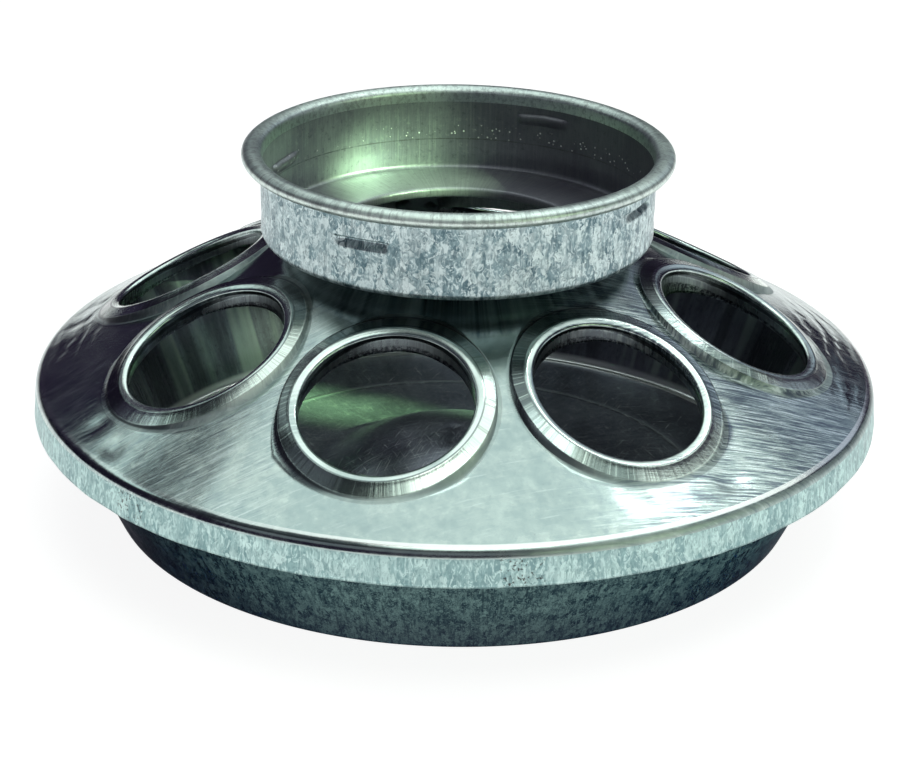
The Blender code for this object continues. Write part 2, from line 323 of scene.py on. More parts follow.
def hole_angles():
    """Directions from a hole's centre to evenly spaced points of its sector's outline."""
    across = math.cos(CONE_SLOPE)
    half = SECTOR_ANGLE / 2.0
    corners = []
    for radius in (FOLD_RADIUS - FOLD_CORNER, CONE_TOP_RADIUS):
        out = (radius * math.cos(half) - HOLE_PLAN_RADIUS) / across
        corners.append(math.atan2(radius * math.sin(half), out))
    outer, inner = corners
    far_side = math.tau - inner
    stretches = (
        (-outer, outer, OUTER_ARC_STEPS),
        (outer, inner, SIDE_STEPS),
        (inner, far_side, SHOULDER_STEPS),
        (far_side, math.tau - outer, SIDE_STEPS),
    )
    return np.concatenate([np.linspace(a, b, steps, endpoint=False) for a, b, steps in stretches])


def sector_outline(angles):
    """The sector's edge in plan, met by a line from the hole's centre at each angle."""
    half = SECTOR_ANGLE / 2.0
    outer_radius = FOLD_RADIUS - FOLD_CORNER
    first_inner = OUTER_ARC_STEPS + SIDE_STEPS
    outline = []
    for index, angle in enumerate(angles):
        if index <= OUTER_ARC_STEPS:
            azimuth = -half + SECTOR_ANGLE * index / OUTER_ARC_STEPS
            outline.append((outer_radius * math.cos(azimuth), outer_radius * math.sin(azimuth)))
        elif first_inner <= index <= first_inner + SHOULDER_STEPS:
            azimuth = half - SECTOR_ANGLE * (index - first_inner) / SHOULDER_STEPS
            outline.append((CONE_TOP_RADIUS * math.cos(azimuth), CONE_TOP_RADIUS * math.sin(azimuth)))
        else:
            out = math.cos(angle) * math.cos(CONE_SLOPE)
            reach = HOLE_PLAN_RADIUS * math.tan(half) / (abs(math.sin(angle)) - out * math.tan(half))
            outline.append((HOLE_PLAN_RADIUS + out * reach, math.sin(angle) * reach))
    return np.array(outline)


# Section of the ring round a hole, from the lip outwards: reach down the slope, how much less it
# is across the slope, and height over the cone
BOSS_SECTION = (
    (15.40, 0.20, 0.00),
    (15.42, 0.20, 0.25),
    (15.50, 0.21, 0.45),
    (15.68, 0.24, 0.60),
    (15.98, 0.30, 0.70),
    (16.35, 0.37, 0.77),
    (16.70, 0.44, 0.82),
    (17.00, 0.50, 0.83),
    (17.25, 0.55, 0.77),
    (17.45, 0.60, 0.68),
    (18.10, 0.80, 0.50),
    (18.80, 1.00, 0.31),
    (19.50, 1.20, 0.13),
    (19.80, 1.30, 0.06),
    (20.15, 1.42, 0.015),
)
CONE_RING_COUNT = 9
LIP_ROWS = 7
LIP_DEPTH = 2.7 * MM
DEEP_LIP_SECTOR = 2
DEEP_LIP_EXTRA = 1.5 * MM
LIP_RAGGEDNESS = 0.16 * MM


def ring_points(angles, reach, height, drop=0.0):
    """A ring round the hole, parallel to the cone, raised by a height and dropped straight down."""
    out = np.array((math.cos(CONE_SLOPE), 0.0, -math.sin(CONE_SLOPE)))
    across = np.array((0.0, 1.0, 0.0))
    normal = np.array((math.sin(CONE_SLOPE), 0.0, math.cos(CONE_SLOPE)))
    centre = np.array((HOLE_PLAN_RADIUS, 0.0, cone_height(HOLE_PLAN_RADIUS))) + normal * height
    ring = centre + reach[:, None] * (np.cos(angles)[:, None] * out + np.sin(angles)[:, None] * across)
    ring[:, 2] -= drop
    return ring


def sector_points(index):
    """Rows of points of one sector of the cone, from the hole's lip to the sector's outline."""
    angles = hole_angles()
    side = np.sin(angles) ** 2
    rows = []
    reach, trim, height = (value * MM for value in BOSS_SECTION[0])
    lip_reach = reach - trim * side
    uphill = 0.5 - 0.5 * np.cos(angles)
    depth = LIP_DEPTH + (DEEP_LIP_EXTRA if index == DEEP_LIP_SECTOR else 0.0) * uphill
    seeds = np.stack([np.cos(angles), np.sin(angles), np.zeros_like(angles)], axis=1)
    ragged = wave(seeds, 0.22, 20 + index, 3) + 0.5 * wave(seeds, 0.9, 40 + index)
    depth = depth + LIP_RAGGEDNESS * ragged
    for row in range(LIP_ROWS):
        share = 1.0 - row / LIP_ROWS
        flare = 0.35 * MM * share ** 2 * (1.0 - uphill)
        rows.append(ring_points(angles, lip_reach + flare, height, depth * share))
    for reach, trim, height in BOSS_SECTION:
        rows.append(ring_points(angles, (reach - trim * side) * MM, height * MM))
    foot_reach = BOSS_RADIUS - 1.5 * MM * side
    foot = np.stack([
        HOLE_PLAN_RADIUS + foot_reach * np.cos(angles) * math.cos(CONE_SLOPE),
        foot_reach * np.sin(angles),
    ], axis=1)
    outline = sector_outline(angles)
    for step in range(CONE_RING_COUNT + 1):
        share = step / CONE_RING_COUNT
        plan = foot + (outline - foot) * share
        rows.append(np.column_stack([plan, cone_height(np.hypot(plan[:, 0], plan[:, 1]))]))
    points = np.array(rows)
    turn = np.array(Matrix.Rotation(index * SECTOR_ANGLE - math.pi / 2.0, 3, "Z"))
    return points @ turn.T


def skirt_profile():
    """From the cone's outer edge round the fold and down the skirt."""
    start = (FOLD_RADIUS - FOLD_CORNER, cone_height(FOLD_RADIUS - FOLD_CORNER))
    bend = (FOLD_RADIUS + 0.02 * MM, FOLD_HEIGHT + 0.05 * MM)
    end = (FOLD_RADIUS + 0.22 * MM, FOLD_HEIGHT - 1.15 * MM)
    profile = []
    for step in range(FOLD_STEPS + 1):
        t = step / FOLD_STEPS
        weights = ((1 - t) ** 2, 2 * t * (1 - t), t ** 2)
        radius, height = (
            weights[0] * start[i] + weights[1] * bend[i] + weights[2] * end[i] for i in range(2)
        )
        profile.append((radius, height))
    return profile[:-1] + run(end, (SKIRT_RADIUS, SKIRT_BOTTOM), 9) + [(SKIRT_RADIUS, SKIRT_BOTTOM)]


def shoulder_profile():
    """From the edge of the cover's round hole over the flat shoulder to the cone's top."""
    flat_edge = (CONE_TOP_RADIUS - SHOULDER_BEND, COVER_TOP)
    bend = (CONE_TOP_RADIUS - SHOULDER_BEND / 2.0, COVER_TOP - 0.2 * MM)
    return run((COVER_HOLE_RADIUS, COVER_TOP), flat_edge, 3) + [
        flat_edge,
        bend,
        (CONE_TOP_RADIUS, cone_height(CONE_TOP_RADIUS)),
    ]


def shape_cover(mesh):
    """Gives the cone and skirt the slight unevenness of pressed sheet."""
    points = vertex_array(mesh)
    normals = vertex_array(mesh, "normal")
    radius, azimuth = polar_parts(points)
    cone = between(radius, 36.0 * MM, 44.0 * MM) * between(-radius, -78.0 * MM, -76.0 * MM)
    swell = wave(points, 26.0 * MM, 3) + 0.45 * wave(points, 11.0 * MM, 4)
    turn = np.radians(azimuth)
    around = np.stack([np.cos(turn) * 9.0, np.sin(turn) * 9.0, radius / MM * 0.03], axis=1)
    pleats = wave(around, 0.42, 5, 2)
    near_rim = between(radius, 66.0 * MM, 75.0 * MM) * between(-radius, -78.6 * MM, -77.4 * MM)
    push = 0.085 * MM * swell * cone + 0.05 * MM * pleats * near_rim
    points += normals * push[:, None]
    for centre, out, depth, half_turn, half_reach in DENTS:
        side = (azimuth - centre) / half_turn
        reach = (radius / MM - out) / half_reach
        hollow = between(1.0 - np.hypot(side, reach), 0.0, 1.0)
        points -= normals * (depth * MM * hollow)[:, None]
    skirt = between(-points[:, 2], -24.2 * MM, -22.0 * MM)
    ripple = wave(around, 1.1, 6, 2)
    inward = 0.10 * MM * (1.0 - ripple) * skirt
    points[:, :2] *= 1.0 - (inward / np.maximum(radius, MM))[:, None]
    low_edge = between(-points[:, 2], -22.0 * MM, -19.5 * MM)
    points[:, 2] += 0.14 * MM * (1.0 + wave(around, 0.8, 7, 2)) * low_edge
    mesh.vertices.foreach_set("co", points.ravel())


def mark_holes(mesh):
    """Tells the finish where each point lies round its nearest feed hole."""
    points = vertex_array(mesh)
    radius, azimuth = polar_parts(points)
    sector = np.round(np.radians(azimuth) / SECTOR_ANGLE)
    local = np.radians(azimuth) - SECTOR_ANGLE * sector
    out = (radius * np.cos(local) - HOLE_PLAN_RADIUS) / math.cos(CONE_SLOPE)
    across = radius * np.sin(local)
    angle = np.arctan2(across, out)
    reach = np.hypot(out, across)
    level = np.clip((reach - LIP_RADIUS) / (BOSS_RADIUS - LIP_RADIUS), 0.0, 1.0)
    reach = reach / MM + (0.2 + 1.3 * level) * np.sin(angle) ** 2
    turned_angle = angle + SECTOR_ANGLE * sector
    around = np.stack([np.sin(turned_angle), -np.cos(turned_angle), 11.0 * sector], axis=1)
    over_cone = points[:, 2] - FOLD_HEIGHT - (FOLD_RADIUS - radius) * math.tan(CONE_SLOPE)
    set_attribute(mesh, "hole_reach", "FLOAT", reach)
    set_attribute(mesh, "hole_level", "FLOAT", over_cone / MM)
    set_attribute(mesh, "hole_around", "FLOAT_VECTOR", around)


def make_cover():
    """The cover: eight sectors of the cone, each with its hole, then the skirt and the shoulder."""
    blocks, faces, finishes, first = [], [], [], 0
    sectors = [sector_points(index) for index in range(HOLE_COUNT)]
    half = SECTOR_ANGLE / 2.0
    skirt = turned(skirt_profile(), HOLE_COUNT * OUTER_ARC_STEPS, half)
    shoulder = turned(shoulder_profile(), HOLE_COUNT * SHOULDER_STEPS, half)
    for block in (*sectors, skirt, shoulder):
        rows, columns = block.shape[:2]
        made = grid_faces(rows, columns, first)
        faces += made
        bent_faces = FOLD_STEPS * columns if block is skirt else len(made)
        finishes += [0] * bent_faces + [1] * (len(made) - bent_faces)
        blocks.append(block.reshape(-1, 3))
        first += rows * columns
    mesh = make_mesh("cover_shell", np.concatenate(blocks), faces, finishes)
    shape_cover(mesh)
    mark_holes(mesh)
    materials = [cone_finish(), skirt_finish(), cover_inner_finish(), cover_inner_finish()]
    sheet_piece("cover_shell", mesh, materials, "feed_cover", "cover")


# ---------------------------------------------------------------- collar

def lug_height_offset(azimuth):
    """How far the thread stands above its base height: it climbs with azimuth, then drops back."""
    first, last = LUG_AZIMUTHS[0], LUG_AZIMUTHS[-1]
    turned_by = np.mod(azimuth - first, 360.0)
    climb = last - first
    turned_by = np.where(turned_by > climb, climb * (360.0 - turned_by) / (360.0 - climb), turned_by)
    return LUG_PITCH * (turned_by + first - LUG_BASE_AZIMUTH) / 360.0


def lug_press(azimuth, offset):
    """Depth of the pressing at an azimuth and a height above the thread's line."""
    upright = between(offset, -1.30 * MM, 0.35 * MM) * between(-offset, -0.90 * MM, -0.45 * MM)
    depth = np.zeros_like(azimuth)
    for lug in LUG_AZIMUTHS:
        away = np.mod(azimuth - lug + 180.0, 360.0) - 180.0
        sharp_end = between(-away, -8.8, -7.4)
        sloping_end = between(away, -9.8, -3.5)
        depth = np.maximum(depth, LUG_DEPTH * sharp_end * sloping_end)
    return depth * upright


def collar_profile():
    """The collar's outer face, from the free end of its rolled bead to the clinch."""
    half_width = BEAD_HALF_WIDTH - SHEET
    half_height = BEAD_HALF_HEIGHT - SHEET
    bead_centre = (BEAD_RADIUS - BEAD_HALF_WIDTH, COLLAR_TOP - BEAD_HALF_HEIGHT)
    underside = COLLAR_FLOOR - SHEET
    lip_radius = THROAT_RADIUS + SHEET
    clinch = COVER_TOP - SHEET - FIT_GAP
    bend = 0.22 * MM
    bead = arc(bead_centre, half_width, half_height, -115, 176, BEAD_STEPS)
    neck = [(COLLAR_RADIUS + 0.10 * MM, COLLAR_WALL_TOP + 0.55 * MM)]
    corner_centre = (COLLAR_RADIUS - COLLAR_CORNER, underside + COLLAR_CORNER)
    corner = arc(corner_centre, COLLAR_CORNER, COLLAR_CORNER, 0, -90, 8)
    wall = run((COLLAR_RADIUS, COLLAR_WALL_TOP), corner[0], 96)
    ring_out, ring_in = 34.7 * MM, 33.4 * MM
    floor = [
        (ring_out, underside + 0.10 * MM),
        ((ring_out + ring_in) / 2.0, underside + 0.22 * MM),
        (ring_in, underside + 0.05 * MM),
        (ring_in - 0.5 * MM, underside),
    ]
    floor += run((ring_in - MM, underside), (lip_radius + bend * 2.5, underside), 8)
    turn_down = arc((lip_radius + bend, underside - bend), bend, bend, 90, 180, 4)
    spread = arc((lip_radius + bend, clinch + bend), bend, bend, 180, 270, 4)
    return bead + neck + wall + corner + floor + turn_down + spread + [(CLINCH_RADIUS, clinch)]


def shape_collar(points):
    """Presses the lugs and dulls the wall's evenness."""
    radius, azimuth = polar_parts(points)
    height = points[..., 2]
    on_wall = (np.abs(radius - COLLAR_RADIUS) < WELD_DISTANCE) & (height < COLLAR_WALL_TOP)
    offset = height - LUG_BASE_HEIGHT - lug_height_offset(azimuth)
    press = lug_press(azimuth, offset) * on_wall
    turn = np.radians(azimuth)
    around = np.stack([np.cos(turn) * 4.0, np.sin(turn) * 4.0, height / MM * 0.05], axis=-1)
    below_crease = between(-height, -COLLAR_CREASE_HEIGHT, -COLLAR_CREASE_HEIGHT + 3.7 * MM)
    uneven = 0.06 * MM * wave(around, 1.0, 8, 2) + 0.2 * MM * below_crease
    upper = between(height, COLLAR_FLOOR + 1.5 * MM, COLLAR_FLOOR + 5.0 * MM)
    upper = upper * between(-height, -COLLAR_WALL_TOP, -COLLAR_WALL_TOP + 2.0 * MM)
    inward = press + (uneven * upper) * on_wall
    points[..., :2] *= (1.0 - inward / np.maximum(radius, MM))[..., None]
    in_throat = between(-radius, -THROAT_RADIUS - 1.2 * MM, -THROAT_RADIUS - 0.6 * MM)
    rough = 0.05 * MM * wave(around * 6.0, 1.0, 9, 2) * in_throat
    points[..., 2] += rough


def make_collar():
    """The jar collar: bead, wall with four lugs, flat floor and turned-down throat."""
    profile = collar_profile()
    points = turned(profile, COLLAR_COLUMNS)
    shape_collar(points)
    bead_rows = BEAD_STEPS + 2
    finishes = []
    for row in range(len(profile) - 1):
        finishes += [1 if row < bead_rows else 0] * COLLAR_COLUMNS
    mesh = make_mesh("collar_shell", points, grid_faces(len(profile), COLLAR_COLUMNS), finishes)
    materials = [collar_outer_finish(), bead_finish(), collar_inner_finish(), bead_finish()]
    sheet_piece("collar_shell", mesh, materials, "jar_collar", "cover")


# ---------------------------------------------------------------- finishes

class Finish:
    """A steel material, with short calls for the nodes that vary it. Lengths in it are millimetres."""

    def __init__(self, name):
        self.material = bpy.data.materials.new(name)
        self.material.use_nodes = True
        self.tree = self.material.node_tree
        self.shader = self.tree.nodes["Principled BSDF"]
        self.shader.inputs["Metallic"].default_value = 1.0
        position = self.add("ShaderNodeTexCoord").outputs["Object"]
        self.place = self.vector("SCALE", position, scale=1.0 / MM)
        parts = self.add("ShaderNodeSeparateXYZ", self.place).outputs
        self.height = parts["Z"]
        flat = self.add("ShaderNodeCombineXYZ", parts["X"], parts["Y"], 0.0).outputs[0]
        self.radius = self.add("ShaderNodeVectorMath", flat, operation="LENGTH").outputs["Value"]
        self.direction = self.add("ShaderNodeVectorMath", flat, operation="NORMALIZE").outputs[0]

    def add(self, kind, *inputs, **settings):
        """A node with its first inputs given in order: a socket, a value or None to leave it."""
        node = self.tree.nodes.new(kind)
        for key, value in settings.items():
            setattr(node, key, value)
        for slot, value in zip(node.inputs, inputs):
            self.feed(slot, value)
        return node

    def feed(self, slot, value):
        """Links a socket or sets a value. A colour is given without its alpha."""
        if isinstance(value, bpy.types.NodeSocket):
            self.tree.links.new(value, slot)
        elif slot.type == "RGBA":
            slot.default_value = (*value, 1.0)
        elif value is not None:
            slot.default_value = value

    def attribute(self, name, output):
        return self.add("ShaderNodeAttribute", attribute_name=name).outputs[output]

    def maths(self, operation, *inputs):
        return self.add("ShaderNodeMath", *inputs, operation=operation).outputs[0]

    def both(self, first, second):
        """The product of two shares."""
        return self.maths("MULTIPLY", first, second)

    def vector(self, operation, first, second=None, scale=None):
        node = self.add("ShaderNodeVectorMath", first, second, operation=operation)
        if scale is not None:
            node.inputs["Scale"].default_value = scale
        return node.outputs["Vector"]

    def ease(self, value, low, high, start=0.0, end=1.0):
        """Eases from start to end as the value goes from low to high."""
        node = self.add("ShaderNodeMapRange", value, low, high, start, end)
        node.interpolation_type = "SMOOTHSTEP"
        return node.outputs[0]

    def band(self, value, centre, half_width, soft):
        """1 within a band of values, easing to 0 outside it."""
        away = self.maths("ABSOLUTE", self.maths("SUBTRACT", value, centre))
        return self.ease(away, half_width, half_width + soft, 1.0, 0.0)

    def mix(self, share, first, second):
        """From the first colour to the second by a share."""
        node = self.add("ShaderNodeMix", data_type="RGBA")
        self.feed(node.inputs["Factor"], share)
        self.feed(node.inputs["A"], first)
        self.feed(node.inputs["B"], second)
        return node.outputs["Result"]

    def noise(self, place, scale, detail, roughness, distortion=0.0):
        node = self.add("ShaderNodeTexNoise", place, None, scale, detail, roughness)
        node.inputs["Distortion"].default_value = distortion
        return node.outputs["Fac"]

    def stretched(self, place, along, across, upright, angle=0.0):
        """The place turned about the axis and scaled, so that noise on it runs in streaks."""
        node = self.add("ShaderNodeMapping", place)
        node.inputs["Rotation"].default_value = (0.0, 0.0, -angle)
        return self.vector("MULTIPLY", node.outputs[0], (along, across, upright))

    def round_about(self, turns, per_radius, per_height):
        """A place for streaks that run round the axis or out from it."""
        turned_part = self.vector("SCALE", self.direction, scale=turns)
        level = self.maths("MULTIPLY", self.radius, per_radius)
        level = self.maths("MULTIPLY_ADD", self.height, per_height, level)
        lift = self.add("ShaderNodeCombineXYZ", 0.0, 0.0, level).outputs[0]
        return self.vector("ADD", turned_part, lift)

    def spangle(self, place, scale, warp):
        """Zinc crystals: patches of one random tone each, with wandering edges."""
        bend = self.add("ShaderNodeTexNoise", place, None, scale * 1.7, 2.0)
        shift = self.vector("SUBTRACT", bend.outputs["Color"], (0.5, 0.5, 0.5))
        moved = self.vector("ADD", place, self.vector("SCALE", shift, scale=warp / scale * 2.0))
        cells = self.add("ShaderNodeTexVoronoi", moved, None, scale)
        return self.add("ShaderNodeSeparateColor", cells.outputs["Color"]).outputs[0]

    def facing(self, azimuth, direction=None):
        """How far a direction from the axis turns to an azimuth: 1 along it, -1 on the far side."""
        turn = math.radians(azimuth)
        node = self.add("ShaderNodeVectorMath", direction or self.direction, operation="DOT_PRODUCT")
        node.inputs[1].default_value = (math.sin(turn), -math.cos(turn), 0.0)
        return node.outputs["Value"]

    def bump(self, height, distance, below=None):
        """Raises the surface by a height of 0..1 times a distance in millimetres."""
        node = self.add("ShaderNodeBump")
        node.inputs["Strength"].default_value = 1.0
        node.inputs["Distance"].default_value = distance * MM
        self.feed(node.inputs["Height"], height)
        if below is not None:
            self.feed(node.inputs["Normal"], below)
        return node.outputs["Normal"]

    def close(self, colour, roughness, normal):
        """Wires up the shader and hands back the material."""
        self.feed(self.shader.inputs["Base Color"], colour)
        self.feed(self.shader.inputs["Roughness"], roughness)
        self.feed(self.shader.inputs["Normal"], normal)
        return self.material


def rim_wrinkles(f):
    """Shallow creases that run beside the rim on the cone's two sides, as a height of 0..1."""
    total = None
    for azimuth, strength in WRINKLE_SIDES:
        near = f.ease(f.facing(azimuth), 0.90, 0.985, 0.0, strength)
        total = near if total is None else f.maths("MAXIMUM", total, near)
    bend = f.noise(f.place, 0.10, 2.0, 0.5)
    level = f.maths("MULTIPLY_ADD", bend, 14.0, f.both(f.radius, 1.9))
    crests = f.ease(f.maths("SINE", level), -1.0, 1.0)
    across = f.both(f.ease(f.radius, 65.0, 69.0), f.ease(f.radius, 77.5, 75.5))
    return f.both(crests, f.both(across, total))


def cone_grain(f):
    """The sheet's fine and long grain as noises about 0.5, and where the cone is scoured."""
    fine = f.noise(f.stretched(f.place, 0.10, 2.6, 0.3, GRAIN_ANGLE), 1.0, 5.0, 0.72)
    long = f.noise(f.stretched(f.place, 0.05, 1.2, 0.2, GRAIN_ANGLE + 0.12), 1.0, 4.0, 0.65)
    scoured = f.both(f.ease(f.facing(SCOURED_AZIMUTH), 0.84, 0.96), f.ease(f.radius, 78.3, 77.6))
    strength = f.ease(f.facing(CALM_AZIMUTH), 0.86, 0.97, 1.0, 0.40)
    strength = f.maths("MULTIPLY_ADD", scoured, 0.8, strength)
    fine = f.maths("MULTIPLY_ADD", f.maths("SUBTRACT", fine, 0.5), strength, 0.5)
    long = f.maths("MULTIPLY_ADD", f.maths("SUBTRACT", long, 0.5), strength, 0.5)
    return fine, long, scoured


def cone_sheet_tone(f, cloud, mottle, fine, long, scoured):
    """The cone's plain sheet: clouds, mottle, crystals, grain, scratches and specks."""
    speck = f.noise(f.place, 2.4, 2.0, 0.6)
    crystals = f.spangle(f.place, 0.22, 0.5)
    tone = f.mix(f.ease(cloud, 0.3, 0.7), (0.42, 0.51, 0.50), (0.54, 0.63, 0.60))
    tone = f.mix(f.ease(mottle, 0.42, 0.70, 0.0, 0.50), tone, (0.30, 0.39, 0.40))
    tone = f.mix(f.ease(mottle, 0.45, 0.27, 0.0, 0.45), tone, (0.68, 0.78, 0.73))
    tone = f.mix(f.ease(crystals, 0.0, 1.0, 0.34, 0.0), tone, (0.36, 0.46, 0.46))
    tone = f.mix(f.ease(fine, 0.52, 0.62, 0.0, 0.48), tone, (0.80, 0.89, 0.88))
    tone = f.mix(f.ease(fine, 0.46, 0.36, 0.0, 0.54), tone, (0.20, 0.25, 0.30))
    tone = f.mix(f.ease(long, 0.54, 0.70, 0.0, 0.22), tone, (0.26, 0.31, 0.34))
    dark_scratch = f.both(scoured, f.ease(fine, 0.50, 0.36, 0.0, 0.62))
    tone = f.mix(dark_scratch, tone, (0.07, 0.09, 0.15))
    light_scratch = f.both(scoured, f.ease(fine, 0.58, 0.70, 0.0, 0.80))
    tone = f.mix(light_scratch, tone, (0.92, 1.0, 1.0))
    return f.mix(f.ease(speck, 0.68, 0.76, 0.0, 0.4), tone, (0.20, 0.22, 0.24))


def ring_tone(f, tone, reach, around, slope, draws):
    """The raised rings round the holes: painted light and shade on the slope, draw marks, painted shade at
    the foot, a painted highlight on the crest.

    The reach from a hole's centre is that of BOSS_SECTION: the crest is at about 16.5, the slope
    runs from 17.5 to 19.8 and the foot is at 20.1.
    """
    patches = f.noise(f.vector("SCALE", around, scale=1.3), 1.0, 1.0, 0.5)
    duller = f.ease(patches, 0.52, 0.40, 0.0, 0.35)
    brighter = f.ease(patches, 0.55, 0.68, 0.0, 0.7)
    tone = f.mix(f.both(slope, duller), tone, (0.13, 0.15, 0.16))
    tone = f.mix(f.both(slope, brighter), tone, (0.80, 0.95, 0.88))
    # Painted light and shade: the slope lighter or darker on fixed sides of every ring
    for azimuth, start, full, share, colour in RING_LIGHT_AND_SHADE:
        lit_or_shaded = f.ease(f.facing(azimuth, around), start, full, 0.0, share)
        tone = f.mix(f.both(slope, lit_or_shaded), tone, colour)
    tone = f.mix(f.both(slope, f.ease(draws, 0.50, 0.62, 0.0, 0.4)), tone, (0.16, 0.20, 0.18))
    tone = f.mix(f.both(slope, f.ease(draws, 0.48, 0.36, 0.0, 0.5)), tone, (0.62, 0.74, 0.68))
    # Painted shade in the concave foot, strongest on the side turned from the light
    shaded = f.ease(f.facing(RING_LIT_AZIMUTH, around), 0.25, 0.75, 0.75, 0.0)
    foot = f.both(f.band(reach, 20.1, 0.10, 0.22), shaded)
    tone = f.mix(foot, tone, (0.05, 0.055, 0.065))
    rim_line = f.band(reach, 17.35, 0.06, 0.16)
    tone = f.mix(f.both(rim_line, 0.6), tone, (0.10, 0.11, 0.12))
    # Painted highlight along the crest, broken into patches
    crest = f.both(f.band(reach, 16.45, 0.60, 0.25), f.ease(patches, 0.38, 0.62, 0.25, 0.9))
    return f.mix(crest, tone, (0.86, 0.96, 0.91))


def lip_tone(f, tone, in_lip, lip, level, draws):
    """The turned-down lips: painted shade in a dark line under the crest, dull drawn metal, a dark ragged
    hem.
    """
    # Painted shade in a dark line where the lip turns down under the crest
    under_crest = f.both(in_lip, f.band(level, 0.15, 0.25, 0.25))
    tone = f.mix(f.both(under_crest, 0.9), tone, (0.07, 0.08, 0.09))
    tone = f.mix(f.both(lip, f.ease(draws, 0.35, 0.6, 0.95, 0.7)), tone, (0.17, 0.19, 0.21))
    edge_bits = f.noise(f.place, 1.7, 3.0, 0.75)
    hem = f.both(in_lip, f.ease(level, -1.35, -1.75))
    hem = f.both(hem, f.ease(edge_bits, 0.58, 0.46, 0.2, 0.95))
    return f.mix(hem, tone, (0.02, 0.022, 0.03))


def fold_tone(f, tone, fold_lit_side):
    """The fold at the cone's edge: a painted highlight along it, with a painted shade line under it."""
    on_fold = f.ease(f.height, 25.35, 25.65)
    # Painted highlight along the fold, strongest on its lit side
    fold_highlight = f.both(on_fold, f.band(f.radius, 78.0, 0.30, 0.15))
    fold_highlight = f.both(fold_highlight, f.ease(fold_lit_side, 0.20, 0.70, 0.15, 0.8))
    tone = f.mix(fold_highlight, tone, (1.0, 1.0, 0.98))
    # Painted shade in a dark line under the fold, strongest away from its lit side
    fold_shade = f.band(f.radius, 78.80, 0.16, 0.15)
    fold_shade = f.both(fold_shade, f.ease(fold_lit_side, 0.72, 0.92, 0.6, 0.1))
    return f.mix(fold_shade, tone, (0.12, 0.14, 0.15))


def cone_finish():
    """The cone: burnished zinc with grain from rolling, draw marks round the holes, specks, and painted
    light and shade on the rings, on the fold and under the collar.
    """
    f = Finish("cone_zinc")
    fine, long, scoured = cone_grain(f)
    cloud = f.noise(f.place, 0.07, 3.0, 0.5)
    mottle = f.noise(f.place, 0.45, 4.0, 0.6)
    reach = f.attribute("hole_reach", "Fac")
    around = f.attribute("hole_around", "Vector")
    level = f.attribute("hole_level", "Fac")
    slope = f.band(reach, 18.65, 1.1, 0.3)
    in_lip = f.ease(reach, 15.95, 15.6)
    lip = f.both(in_lip, f.ease(level, -0.1, -0.5))
    draws = f.noise(f.vector("SCALE", around, scale=26.0), 1.0, 3.0, 0.7)
    fold_lit_side = f.facing(FOLD_LIT_AZIMUTH)
    tone = cone_sheet_tone(f, cloud, mottle, fine, long, scoured)
    tone = ring_tone(f, tone, reach, around, slope, draws)
    tone = lip_tone(f, tone, in_lip, lip, level, draws)
    # Painted shade on the cone under the collar
    painted_collar_shade = f.ease(f.radius, 35.0, 43.0, 0.55, 0.0)
    tone = f.mix(painted_collar_shade, tone, (0.10, 0.11, 0.12))
    tone = fold_tone(f, tone, fold_lit_side)
    foot_haze = f.ease(f.facing(RING_LIT_AZIMUTH, around), -0.2, 0.5, 0.10, 0.30)
    foot_haze = f.both(f.band(reach, 20.4, 0.50, 0.30), foot_haze)
    fold_haze = f.ease(fold_lit_side, 0.72, 0.92, 0.0, 0.30)
    fold_haze = f.both(f.band(f.radius, FOLD_RADIUS / MM, 0.35, 0.30), fold_haze)
    rough = f.ease(cloud, 0.3, 0.7, 0.13, 0.21)
    for extra in (f.ease(fine, 0.3, 0.7, -0.03, 0.06), f.both(lip, 0.12), foot_haze, fold_haze):
        rough = f.maths("ADD", rough, extra)
    normal = f.bump(fine, 0.012)
    normal = f.bump(long, 0.014, normal)
    normal = f.bump(f.both(draws, slope), 0.035, normal)
    normal = f.bump(mottle, 0.018, normal)
    normal = f.bump(rim_wrinkles(f), 0.10, normal)
    return f.close(tone, rough, normal)


def patina(name, tones, grain, roughness, dirt):
    """Dull galvanising: small upright crystals in three tones, drawn streaks, grit and stains.

    The tones run from dark to light. The grain is the crystals' scale round the axis and up it.
    """
    f = Finish(name)
    dark, middle, light = tones
    turns, rises = COLLAR_RADIUS / MM * grain[0], grain[1]
    place = f.round_about(turns, 0.0, rises)
    crystals = f.spangle(place, 1.0, 0.7)
    small_crystals = f.spangle(place, 2.4, 0.8)
    wriggle = f.noise(place, 1.5, 3.0, 0.62, 2.2)
    streaks = f.noise(f.round_about(turns * 1.9, 0.0, rises * 0.3), 1.0, 4.0, 0.65)
    cloud = f.noise(f.place, 0.12, 4.0, 0.6)
    grit = f.noise(f.place, 3.4, 3.0, 0.7)
    tone = f.mix(f.ease(crystals, 0.1, 1.0), dark, light)
    tone = f.mix(f.ease(small_crystals, 0.1, 0.9, 0.75, 0.1), tone, middle)
    tone = f.mix(f.ease(wriggle, 0.52, 0.60, 0.0, 0.6), tone, light)
    tone = f.mix(f.ease(wriggle, 0.46, 0.38, 0.0, 0.6), tone, dark)
    tone = f.mix(f.ease(streaks, 0.52, 0.68, 0.0, 0.40), tone, light)
    tone = f.mix(f.ease(streaks, 0.46, 0.32, 0.0, dirt), tone, dark)
    tone = f.mix(f.ease(cloud, 0.45, 0.7, 0.0, 0.25), tone, middle)
    tone = f.mix(f.ease(grit, 0.64, 0.74, 0.0, 0.6), tone, tuple(c * 0.4 for c in dark))
    rough = f.ease(crystals, 0.0, 1.0, roughness - 0.07, roughness + 0.07)
    normal = f.bump(crystals, 0.012)
    normal = f.bump(wriggle, 0.022, normal)
    normal = f.bump(grit, 0.012, normal)
    normal = f.bump(streaks, 0.018, normal)
    return f, tone, rough, normal


